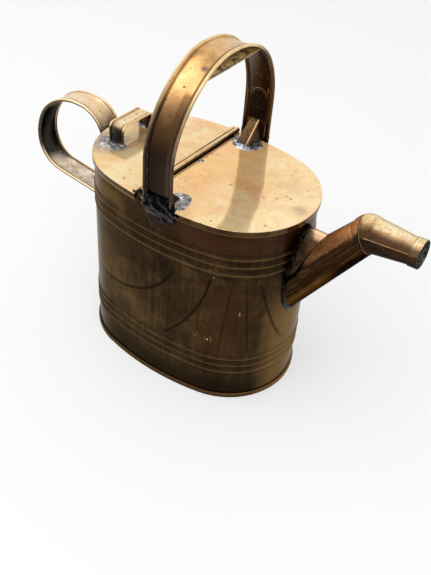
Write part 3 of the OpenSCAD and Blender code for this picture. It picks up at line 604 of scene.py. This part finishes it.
def nozzle_brass(name, edge):
    """Nozzle, or with edge the collar at its mouth: cream-gold and mottled above, tan to dark below as
    painted shade. The nozzle has a lap seam along the near side, with a painted highlight along it, and
    behind the joint at the elbow it is as brown as the tube. slope is how much its middle line rises, joint_x
    and joint_z the direction square to the joint."""
    g = Graph(name)
    tone, mid = tone_of(g, 131, 30, 7, 1.3)
    colour = g.ramp(tone, [(0.34, (170, 124, 78)), (0.46, (234, 198, 142)), (0.6, (255, 238, 194))])
    spots = g.step(g.noise(3.4, 4, 0.7, 0.6, seed=135), 0.56, 0.66)
    colour = g.over(colour, spots, 0.55, (150, 100, 56))
    slope, joint_x, joint_z = 0.047, 0.882, 0.471
    along = g.sub(g.x, ELBOW_X)
    up = g.sub(g.sub(g.z, ELBOW_Z), g.mul(along, slope))
    angle = g.calc("ARCTAN2", g.mul(g.y, -1), up)
    turn = g.add(angle, g.mul(g.sub(g.noise(12, 2, 0.5, seed=133), 0.5), 0.35))
    # Painted shade: tan, brown and then dark as the surface turns down from the top
    tan = g.top(g.step(turn, 0.15, 0.72), g.step(turn, -1.1, -1.6))
    brown = g.ramp(tone, [(0.35, (76, 50, 32)), (0.62, (150, 110, 74))])
    colour = g.over(colour, tan, 0.6 if edge else 0.92, brown)
    colour = g.over(colour, g.step(turn, 0.5, 0.95), 0.8, (58, 38, 23))
    dark = g.top(g.step(turn, 1.24, 1.36), g.step(turn, -1.5, -2.0))
    colour = g.over(colour, dark, 0.93, g.ramp(tone, [(0.35, (22, 14, 8)), (0.65, (60, 41, 24))]))
    if not edge:
        # Painted highlight along the lap seam
        seam = g.mul(g.band(angle, 1.27, 1.32, 0.03), g.step(along, 0, 3))
        colour = g.over(colour, seam, g.noise(7, 3, seed=144), (222, 174, 126))
        past = g.add(g.add(g.mul(along, joint_x), g.mul(g.sub(g.z, ELBOW_Z), joint_z)), 0.8)
        glint = g.mul(g.band(past, 0.2, 0.6, 0.2), g.noise(6, 2, seed=141))
        colour = g.over(colour, glint, 0.6, (236, 200, 146))
        colour = g.mix(g.step(past, 0.1, -0.1), colour, copper_colour(g, tone)[0])
        colour = g.over(colour, g.band(past, -0.9, 0.0, 0.2), 0.85, (24, 15, 9))
    else:
        lip = g.mul(g.step(g.x, 222.6, 224.0), mottled(g, 137, 0.4, 0.55, 3))
        colour = g.over(colour, lip, 0.9, (26, 20, 16))
        inside = g.step(g.vec("LENGTH", g.join(0.0, g.y, up)), 12.85, 12.6)
        dirt = g.ramp(g.noise(3, 4, 0.7, 0.8, seed=143), [(0.42, (24, 20, 17)), (0.62, (196, 194, 188))])
        colour = g.mix(inside, colour, dirt)
        rings = g.top(g.band(g.x, 215.4, 216.2, 0.3), g.band(g.x, 218.6, 219.0, 0.3))
        colour = g.over(colour, rings, 0.6, (70, 46, 26))
    pits = pits_of(g, 138, 3.4, 0.3)
    colour = g.over(colour, pits, 0.7, (84, 54, 32))
    rough = g.add(g.mul(mid, 0.24), 0.2)
    normal = g.bump(g.noise(9, 2, 0.5, seed=139), 0.22)
    if not edge:
        normal = g.bump(g.top(g.step(past, -0.3, 0.2), g.mul(seam, 0.6)), 0.5, normal)
    normal = g.bump(g.sub(1.0, pits), 0.06, normal)
    return g.finish(colour, rough, normal, metallic=0.8, tint=(140, 140, 140))


def solder(name, dark, light, seed, metallic=0.75, share=(0.5, 0.66)):
    """Lumpy solder or dull wire. It is dark up to the first value of share and light from the second."""
    g = Graph(name)
    mid = g.noise(9, 4, 0.6, 0.6, seed=seed)
    fine = g.noise(1.8, 3, 0.6, seed=seed + 1)
    tone = g.add(g.mul(mid, 0.6), g.mul(fine, 0.4))
    colour = g.ramp(tone, [(0.36, dark), (share[0], dark), (share[1], light)])
    rough = g.add(g.mul(fine, 0.35), 0.18)
    normal = g.bump(mid, 0.8)
    normal = g.bump(fine, 0.12, normal)
    return g.finish(colour, rough, normal, metallic=metallic)


DECK_BRASS = top_brass(DECK_PLATE)
LID_BRASS = top_brass(LID_PLATE)
SIDE_BRASS = side_brass()
HOOP_OUTER, HOOP_INNER = hoop_outer(), hoop_inner()
REAR_OUTER, REAR_INNER = rear_outer(), rear_inner()
LID_OUTER, LID_INNER = lid_outer(), lid_inner()
GUSSET = gusset_brass()
TONGUE = tongue_brass()
GRIP = grip_brass()
COPPER = copper()
BOOT = boot_brass()
NOZZLE = nozzle_brass("nozzle_brass", False)
COLLAR = nozzle_brass("collar_brass", True)
GREY = solder("solder_grey", (116, 113, 110), (236, 236, 234), 41, 0.85, (0.46, 0.62))
BLUE = solder("solder_blue", (104, 106, 116), (236, 240, 246), 45, 0.9, (0.43, 0.57))
BROWN = solder("solder_brown", (10, 7, 5), (66, 50, 34), 49, 1.0)
BLACK = solder("solder_black", (9, 8, 9), (104, 108, 114), 43, 1.0, (0.55, 0.72))
PIN = solder("pin_wire", (34, 28, 24), (96, 84, 70), 47)

LOOKS = (
    (SIDE_BRASS, "body_wall base_pan"),
    (DECK_BRASS, "deck"),
    (LID_BRASS, "lid"),
    (PIN, "hinge_pin"),
    (LID_OUTER, "lid_handle"),
    (HOOP_OUTER, "carry_handle"),
    (GUSSET, "gusset_near gusset_far"),
    (GRIP, "grip_strap"),
    (REAR_OUTER, "rear_handle"),
    (COPPER, "spout_tube"),
    (BOOT, "spout_boot"),
    (NOZZLE, "spout_nozzle"),
    (COLLAR, "nozzle_collar"),
    (BROWN, "spout_root_solder"),
    (BLACK, "carry_solder_near carry_solder_far"),
    (BLUE, "gusset_solder_far rear_solder_top rear_solder_bottom"),
    (GREY, "gusset_solder_near lid_handle_solder_near lid_handle_solder_far deck_solder_drop"),
    (GREY, "grip_solder_near grip_solder_far"),
)
for look, names in LOOKS:
    for name in names.split():
        for place in nodes[name].material_slots:
            place.material = look


# ---------- pieces built in mesh code

def placed(name, data):
    o = bpy.data.objects.new(name, data)
    bpy.context.scene.collection.objects.link(o)
    return o


def piece(name, verts, faces, looks, swaps, body="can", pick=None):
    """A mesh from points in millimetres. pick gives the number of the material for each face."""
    used = sorted({v for face in faces for v in face})
    place = {v: i for i, v in enumerate(used)}
    mesh = bpy.data.meshes.new(name)
    points = [[c * MM for c in verts[v]] for v in used]
    mesh.from_pydata(points, [], [[place[v] for v in face] for face in faces])
    for look in looks:
        mesh.materials.append(look)
    if pick:
        mesh.polygons.foreach_set("material_index", pick)
    mesh.polygons.foreach_set("use_smooth", [True] * len(mesh.polygons))
    mesh.validate()
    o = placed(name, mesh)
    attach(o, body)
    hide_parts(*swaps)
    return o


def wobble(p, size, amount, seed=0.0):
    """Smooth noise between -amount and amount at the point p, with features size mm across."""
    return amount * noise.noise(Vector((p[0] / size + seed, p[1] / size - seed, p[2] / size + 2 * seed)))


def sweep(name, path, section, looks, swaps, body="can", place=None, dent=0.0):
    """Sweeps a closed section over a path. path is a list of (point, outward, across) vectors, and section of
    (across, outward, material number for the face to the next point). dent is how far it is knocked about."""
    verts, faces, pick = [], [], []
    n = len(section)
    for at, out, side in path:
        for a, o, _ in section:
            p = at + side * a + out * o
            p = p + out * wobble(p, 24, dent) + side * wobble(p, 30, dent, 3.1)
            verts.append(place @ p if place else p)
    for i in range(len(path) - 1):
        for j in range(n):
            k = (j + 1) % n
            faces.append((i * n + j, i * n + k, (i + 1) * n + k, (i + 1) * n + j))
            pick.append(section[j][2])
    faces.append(tuple(range(n - 1, -1, -1)))
    faces.append(tuple((len(path) - 1) * n + j for j in range(n)))
    pick += [0, 0]
    return piece(name, verts, faces, looks, swaps, body, pick)


def run_of(start, heading, outward, across, parts, step=2.0):
    """Path over straights (length, 0) and bends (radius, degrees). Each bend turns away from outward."""
    at, head, out = Vector(start), Vector(heading), Vector(outward)
    path = [(at.copy(), out.copy(), across)]
    for length, angle in parts:
        if angle == 0:
            count = max(1, round(length / step))
            for i in range(count):
                at = at + head * (length / count)
                path.append((at.copy(), out.copy(), across))
        else:
            turn = radians(angle)
            count = max(6, round(length * turn / step))
            centre = at - out * length
            h0, o0 = head.copy(), out.copy()
            for i in range(1, count + 1):
                t = turn * i / count
                out = o0 * cos(t) + h0 * sin(t)
                head = h0 * cos(t) - o0 * sin(t)
                at = centre + out * length
                path.append((at.copy(), out.copy(), across))
    return path


def bead_points(centre_a, centre_o, radius, start, end):
    """Section points round a wired edge, between two angles in degrees."""
    count, pts = 12, []
    for i in range(count + 1):
        t = radians(start + (end - start) * i / count)
        pts.append((centre_a + radius * cos(t), centre_o + radius * sin(t), 0))
    return pts


def hoop_section():
    """Web between two stepped edges with wired beads. The outside is material 0, the inside 1. web is half
    the web's width, edge how far from the middle a bead lies, up the step, t the sheet, r and mid a bead's
    radius and height."""
    web, edge, up, t, r, mid = 10.7, 14.7, 1.6, 0.9, 1.5, 2.05
    outer = [(-web + 0.6, t, 0), (0, t, 0), (web - 0.6, t, 0), (web - 0.15, t + 0.2, 0), (web, t + 0.6, 0),
             (web + 0.1, up + t - 0.5, 0), (web + 0.5, up + t, 0), (edge - r * 0.95, up + t, 0)]
    right = bead_points(edge, mid, r, 150, -150)
    inner = [(web + 0.9, up + 0.05, 1), (web + 0.3, up - 0.3, 1), (web - 0.4, 0.5, 1), (web - 0.9, 0, 1),
             (0, 0, 1), (-web + 0.9, 0, 1), (-web + 0.4, 0.5, 1), (-web - 0.3, up - 0.3, 1),
             (-web - 0.9, up + 0.05, 1)]
    left = bead_points(-edge, mid, r, -30, -330)
    close = [(-edge + r * 0.95, up + t, 0), (-web - 0.5, up + t, 0), (-web - 0.1, up + t - 0.5, 0),
             (-web, t + 0.6, 0), (-web + 0.15, t + 0.2, 0)]
    return outer + right + inner + left + close


def beaded_section(half, t, r):
    """Flat strap with a round bead on each edge, centred on the path."""
    edge = half - r
    top = [(-edge + r, t / 2, 0), (0, t / 2, 0), (edge - r, t / 2, 0)]
    low = [(edge - r, -t / 2, 1), (0, -t / 2, 1), (-edge + r, -t / 2, 1)]
    return top + bead_points(edge, 0, r, 160, -160) + low + bead_points(-edge, 0, r, -20, -340)


def hoop_bent(y, z):
    """How far the hoop is bent out of its round: squarer at the far shoulder, flatter at the near one and low
    at the crown."""
    if z <= HOOP_SPRING:
        return 0.0
    t = atan2(z - HOOP_SPRING, y)
    return (2.5 if y > 0 else -3.5) * sin(2 * t) ** 2 - 2.6 * sin(t) ** 4


def build_grip():
    """Flat strap across under the hoop's crown, with a lump of solder under each end."""
    level, sag, ends = 323.6, 0.5, []
    for side in (1, -1):
        angle = radians(57)
        for _ in range(12):
            y, z = side * cos(angle), HOOP_SPRING + sin(angle) * HOOP_IN
            r = HOOP_IN + hoop_bent(y * HOOP_IN, z)
            angle = asin((level - HOOP_SPRING) / r)
        ends.append(side * (r * cos(angle) + 0.3))
    count = 40
    path = []
    for i in range(count + 1):
        y = ends[0] + (ends[1] - ends[0]) * i / count
        z = level - sag * sin(pi * i / count)
        path.append((Vector((0, y, z)), Vector((0, 0, 1)), Vector((1, 0, 0))))
    sweep("grip", path, beaded_section(15.5, 0.9, 0.8), [GRIP, GRIP], ["grip_strap"],
          place=HOOP_FRAME, dent=0.2)
    for end, name in ((ends[1], "grip_solder_near"), (ends[0], "grip_solder_far")):
        side = 1 if end > 0 else -1
        path = []
        for i in range(31):
            x = -9.6 + 19.2 * i / 30
            path.append((Vector((x, end, level - 0.7)), Vector((0, 0, -1)), Vector((0, -side, 0))))
        lump = [(-0.4, -0.3, 0), (2.2, -0.3, 0), (2.0, 0.4, 0), (1.1, 0.9, 0), (0.5, 1.7, 0), (-0.1, 2.8, 0),
                (-1.4, 3.2, 0)]
        sweep(name + "_lump", path, lump, [GREY], [name], place=HOOP_FRAME, dent=0.5)


def build_hoop():
    """The carrying hoop: two legs and an arch."""
    foot_z = 213.4
    leg = HOOP_SPRING - foot_z
    path = run_of((0, HOOP_IN, foot_z), (0, 0, 1), (0, 1, 0), Vector((1, 0, 0)),
                  [(leg, 0), (HOOP_IN, 180), (leg, 0)])
    path = [(at + out * hoop_bent(at.y, at.z), out, side) for at, out, side in path]
    return sweep("hoop", path, hoop_section(), [HOOP_OUTER, HOOP_INNER], [],
                 place=HOOP_FRAME, dent=0.25)


def build_rear_handle():
    """C-shaped strap, from its upper foot round three bends to the lower one, where it meets the wall."""
    left, top_r, back_r, low_r, bead = -215.5, 31.0, 61.0, 33.0, 1.6
    a = radians(20)
    first, top_z, flat, last = 14.0, 232.1, 5.2, 76
    cx, cz = left + back_r + flat, top_z - top_r
    x = cx + (top_r - bead) * cos(a) + first * sin(a)
    z = cz + (top_r - bead) * sin(a) - first * cos(a)
    path = run_of((x, 0, z), (-sin(a), 0, cos(a)), (cos(a), 0, sin(a)), Vector((0, 1, 0)),
                  [(first, 0), (top_r - bead, 70), (flat, 0), (back_r - bead, 90), (low_r - bead, 83),
                   (last, 0)])
    path = [f for f in path if f[0].x < -HALF_L + 1.2]
    sweep("rear_handle_strap", path, beaded_section(14, 0.9, bead), [REAR_OUTER, REAR_INNER],
          ["rear_handle"], dent=0.3)


def build_lid_handle():
    """Small bent strap across the lid: two legs, two bends and a flat top."""
    bead, half_len, height, bend = 1.15, 23.5, 19.8, 6.5
    leg = height - bend
    path = run_of((LID_HANDLE_X, half_len - bead, LID_TOP), (0, 0, 1), (0, 1, 0), Vector((-1, 0, 0)),
                  [(leg, 0), (bend - bead, 90), (2 * half_len - 2 * bend, 0), (bend - bead, 90),
                   (leg, 0)], 1.2)
    sweep("lid_handle_strap", path, beaded_section(9.25, 1.0, bead), [LID_OUTER, LID_INNER],
          ["lid_handle"], "lid", dent=0.15)


def blob(name, centre, outline, height, look, swaps, body, base, seed):
    """A crumpled pad of solder on a level sheet at height base. outline gives its radius at equal angles
    from +X. Its edge is sunk by foot."""
    ripple, foot, rings, spokes = 0.55, 0.25, 16, 64
    verts = []
    cx, cy = centre
    count = len(outline)
    for i in range(rings + 1):
        f = i / rings
        for j in range(spokes):
            t = j / spokes * count
            a, b = outline[int(t) % count], outline[(int(t) + 1) % count]
            w = (1 - cos((t - int(t)) * pi)) / 2
            angle = 2 * pi * j / spokes
            x, y = cos(angle), sin(angle)
            r = (a * (1 - w) + b * w) * (1 + 0.10 * noise.noise(Vector((x * 2.5, y * 2.5, seed))))
            r = r + wobble((x * 12, y * 12, 0), 4, 1.1, seed)
            px, py = cx + x * r * f, cy + y * r * f
            rise = min(1.0, (1 - f) * 3.2) ** 0.6
            lumps = 0.55 + ripple * noise.noise(Vector((px / 4.2, py / 4.2, seed)))
            lumps += 0.35 * ripple * noise.noise(Vector((px / 1.7, py / 1.7, seed + 9)))
            verts.append((px, py, base - foot + (foot + height * max(0.05, lumps)) * rise))
    faces = []
    for i in range(rings):
        for j in range(spokes):
            k = (j + 1) % spokes
            faces.append((i * spokes + j, (i + 1) * spokes + j, (i + 1) * spokes + k, i * spokes + k))
    piece(name, verts, faces, [look], swaps, body)


def oval_y(x):
    """Half width of the can's plan at x, on its side arcs."""
    arc = (HALF_L - HALF_W) / (cos(SIDE_MEET) + sin(SIDE_MEET) - 1)
    drop = arc * sin(SIDE_MEET)
    return sqrt((HALF_W + drop) ** 2 - x * x) - drop


def foot_lump(name, mirror, half, top, low, narrow, lean, thick, swaps, seed):
    """Lumps of solder over a foot of the hoop, from the strap down over the rim and onto the wall. half is
    half their width at the rim, narrow how fast they draw in below it and lean how far they drift sideways.
    profile lists (y, z) on the strap, the rim and the wall that they lie on."""
    turn = HOOP_FRAME @ Matrix.Diagonal((1, mirror, 1, 1))
    rows, cols, over = 84, 76, half + 3
    profile = [(82.9, top + 1), (82.9, 216), (83.2, 213.8), (82.0, 209), (80.4, 206), (78.9, 203),
               (78.9, low - 1)]
    length = [0.0]
    for (y0, z0), (y1, z1) in zip(profile, profile[1:]):
        length.append(length[-1] + hypot(y1 - y0, z1 - z0))
    verts, shown = [], []
    for i in range(rows + 1):
        v = length[-1] * i / rows
        k = max(j for j in range(len(length) - 1) if length[j] <= v + 1e-9)
        f = (v - length[k]) / (length[k + 1] - length[k])
        (y0, z0), (y1, z1) = profile[k], profile[k + 1]
        y, z = y0 + (y1 - y0) * f, z0 + (z1 - z0) * f
        below = max(0.0, RIM_Z - z)
        reach = half - narrow * below
        for j in range(cols + 1):
            u = over * (2 * j / cols - 1)
            on_wall = max(0.0, min(1.0, (216 - z) / 5))
            face = y + on_wall * (oval_y(HOOP_X + u) - HALF_W)
            p = Vector((u, y, z))
            side = (reach - abs(u - lean * below)) / 4.5
            env = min(side, (top - z) / 7, (z - low) / 5)
            env = min(1.0, env + wobble(p, 7, 1.1, seed) + wobble(p, 2.8, 0.4, seed + 4))
            lumps = 0.5 + 0.9 * noise.noise(p / 6.5 + Vector((seed, 0, 0)))
            lumps += 0.3 * noise.noise(p / 2.6 + Vector((0, seed, 0)))
            h = thick * max(0.08, lumps) * max(0.0, env) ** 0.6 + max(-1.0, min(0.0, env)) * 1.6
            verts.append(turn @ Vector((u, face + h, z)))
            shown.append(env > -0.5)
    faces = []
    for i in range(rows):
        for j in range(cols):
            a = i * (cols + 1) + j
            face = (a, a + 1, a + cols + 2, a + cols + 1)
            if any(shown[v] for v in face):
                faces.append(face if mirror < 0 else face[::-1])
    piece(name, verts, faces, [BLACK], swaps)


def tongue(name, mirror):
    """Sheet at a foot of the hoop that runs down over the rim and lies on the wall, with a round lower end.
    outward lists (z, how far out of the wall's outline its face lies)."""
    turn = HOOP_FRAME @ Matrix.Diagonal((1, mirror, 1, 1))
    half, high, low, rows, cols = 16.0, 214.6, 189.0, 40, 24
    outward = [(high, 1.3), (207.2, 1.3), (202.2, -0.9), (180.0, -0.9)]
    verts = []
    for i in range(rows + 1):
        z = high - (high - low) * sin(pi / 2 * i / rows) if i < rows else low
        wide = half if z > low + half else sqrt(max(0.05, half ** 2 - (low + half - z) ** 2))
        for (z0, o0), (z1, o1) in zip(outward, outward[1:]):
            if z1 <= z <= z0:
                off = o0 + (o1 - o0) * (z0 - z) / (z0 - z1)
        for j in range(-1, cols + 2):
            u = wide * max(-1, min(1, 2 * j / cols - 1))
            rim = j < 0 or j > cols or i == rows
            y = oval_y(HOOP_X + u) + off
            y += -0.9 if rim else wobble((u, z, 0), 7, 0.15, 2.0)
            verts.append(turn @ Vector((u, y, z)))
    faces = []
    n = cols + 3
    for i in range(rows):
        for j in range(n - 1):
            face = (i * n + j, i * n + j + 1, (i + 1) * n + j + 1, (i + 1) * n + j)
            faces.append(face if mirror < 0 else face[::-1])
    piece(name, verts, faces, [TONGUE], ["carry_handle"])


tongue("tongue_near", -1)
tongue("tongue_far", 1)
hoop = build_hoop()
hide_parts("carry_handle")
build_grip()
build_rear_handle()
build_lid_handle()
foot_lump("carry_solder_near_lumps", -1, 18, 226, 194, 1.1, 0.2, 2.2, ["carry_solder_near"], 2.7)
foot_lump("carry_solder_far_lumps", 1, 14, 219, 196, 0.8, -0.2, 1.6, ["carry_solder_far"], 5.1)
blob("gusset_solder_near_lumps", (13, -61), (16, 15, 13, 10, 9, 10, 14, 17), 1.9, GREY,
     ["gusset_solder_near"], "can", TOP, 1.3)
blob("gusset_solder_far_lumps", (4.5, 67), (17.5, 12, 9, 11, 17, 17, 17.5, 17), 1.9, BLUE,
     ["gusset_solder_far"], "can", TOP, 3.9)
blob("lid_solder_near_lumps", (-93, -24), (16, 9, 7, 10, 17, 17, 14, 16), 1.3, GREY,
     ["lid_handle_solder_near"], "lid", LID_TOP, 6.2)
blob("lid_solder_far_lumps", (LID_HANDLE_X, 23), (13, 8, 6, 8, 13, 8, 6, 8), 1.4, GREY,
     ["lid_handle_solder_far"], "lid", LID_TOP, 8.4)


# ---------- floor, lights, camera

def seen_directly(t):
    """1 for rays from the camera and rays the object mirrors or lets through, 0 for the light it gets."""
    path = t.nodes.new("ShaderNodeLightPath")
    out = path.outputs["Is Camera Ray"]
    for other in ("Is Glossy Ray", "Is Transmission Ray"):
        both = t.nodes.new("ShaderNodeMath")
        both.operation = "MAXIMUM"
        t.links.new(out, both.inputs[0])
        t.links.new(path.outputs[other], both.inputs[1])
        out = both.outputs[0]
    return out


def floor():
    """White ground that takes the can's shadow. To rays that see it directly, half of it is its own light."""
    half = 9
    corners = [(-half, -half, 0), (half, -half, 0), (half, half, 0), (-half, half, 0)]
    mesh = bpy.data.meshes.new("floor")
    mesh.from_pydata(corners, [], [(0, 1, 2, 3)])
    o = placed("floor", mesh)
    mat = bpy.data.materials.new("floor_white")
    mat.use_nodes = True
    b = mat.node_tree.nodes["Principled BSDF"]
    b.inputs["Base Color"].default_value = (0.93, 0.93, 0.93, 1)
    b.inputs["Roughness"].default_value = 0.9
    b.inputs["Specular IOR Level"].default_value = 0.1
    t = mat.node_tree
    lift = t.nodes.new("ShaderNodeMath")
    lift.operation = "MULTIPLY"
    lift.inputs[1].default_value = 0.5
    t.links.new(seen_directly(t), lift.inputs[0])
    white = t.nodes.new("ShaderNodeEmission")
    white.inputs["Strength"].default_value = 1
    mix = t.nodes.new("ShaderNodeMixShader")
    t.links.new(lift.outputs[0], mix.inputs[0])
    t.links.new(b.outputs[0], mix.inputs[1])
    t.links.new(white.outputs[0], mix.inputs[2])
    t.links.new(mix.outputs[0], t.nodes["Material Output"].inputs[0])
    mesh.materials.append(mat)


def world():
    """Grey light on the object, and plain white behind it and in its reflections."""
    w = bpy.data.worlds.new("studio")
    bpy.context.scene.world = w
    w.use_nodes = True
    t = w.node_tree
    t.nodes.clear()
    plain = t.nodes.new("ShaderNodeBackground")
    plain.inputs["Color"].default_value = (0.73, 0.73, 0.73, 1)
    white = t.nodes.new("ShaderNodeBackground")
    white.inputs["Color"].default_value = (1, 1, 1, 1)
    mix = t.nodes.new("ShaderNodeMixShader")
    t.links.new(seen_directly(t), mix.inputs[0])
    t.links.new(plain.outputs[0], mix.inputs[1])
    t.links.new(white.outputs[0], mix.inputs[2])
    out = t.nodes.new("ShaderNodeOutputWorld")
    t.links.new(mix.outputs[0], out.inputs[0])


def softbox(name, at, to, size, watts):
    """An oblong light at one point, turned to another. Lengths are in metres."""
    light = bpy.data.lights.new(name, "AREA")
    light.shape = "RECTANGLE"
    light.size, light.size_y = size
    light.energy = watts
    o = placed(name, light)
    o.location = at
    o.rotation_euler = (Vector(to) - Vector(at)).to_track_quat("-Z", "Y").to_euler()


CAMERA_AT = Vector((0.3566, -0.5174, 0.6066))
CAMERA_AZIMUTH, CAMERA_ELEVATION, CAMERA_ROLL = 32.752, 40.797, 5.064


def camera():
    az, el, roll = (radians(a) for a in (CAMERA_AZIMUTH, CAMERA_ELEVATION, CAMERA_ROLL))
    back = Vector((sin(az) * cos(el), -cos(az) * cos(el), sin(el)))
    right = (-back).cross(Vector((0, 0, 1))).normalized()
    up = right.cross(-back)
    rolled_right = cos(roll) * right + sin(roll) * up
    rolled_up = -sin(roll) * right + cos(roll) * up
    cam = bpy.data.cameras.new("camera")
    cam.lens = 48
    cam.sensor_width = 36
    cam.clip_start = 0.01
    o = placed("camera", cam)
    turn = Matrix((rolled_right, rolled_up, back)).transposed()
    o.matrix_world = Matrix.Translation(CAMERA_AT) @ turn.to_4x4()
    bpy.context.scene.camera = o


floor()
world()
softbox("key", (-0.6, -0.5, 1.5), (0, 0, 0.15), (1.7, 1.7), 11.5)
softbox("fill", (1.2, -0.9, 1.0), (0, 0, 0.15), (1.2, 1.2), 5)
camera()
bpy.context.scene.view_settings.view_transform = "Standard"
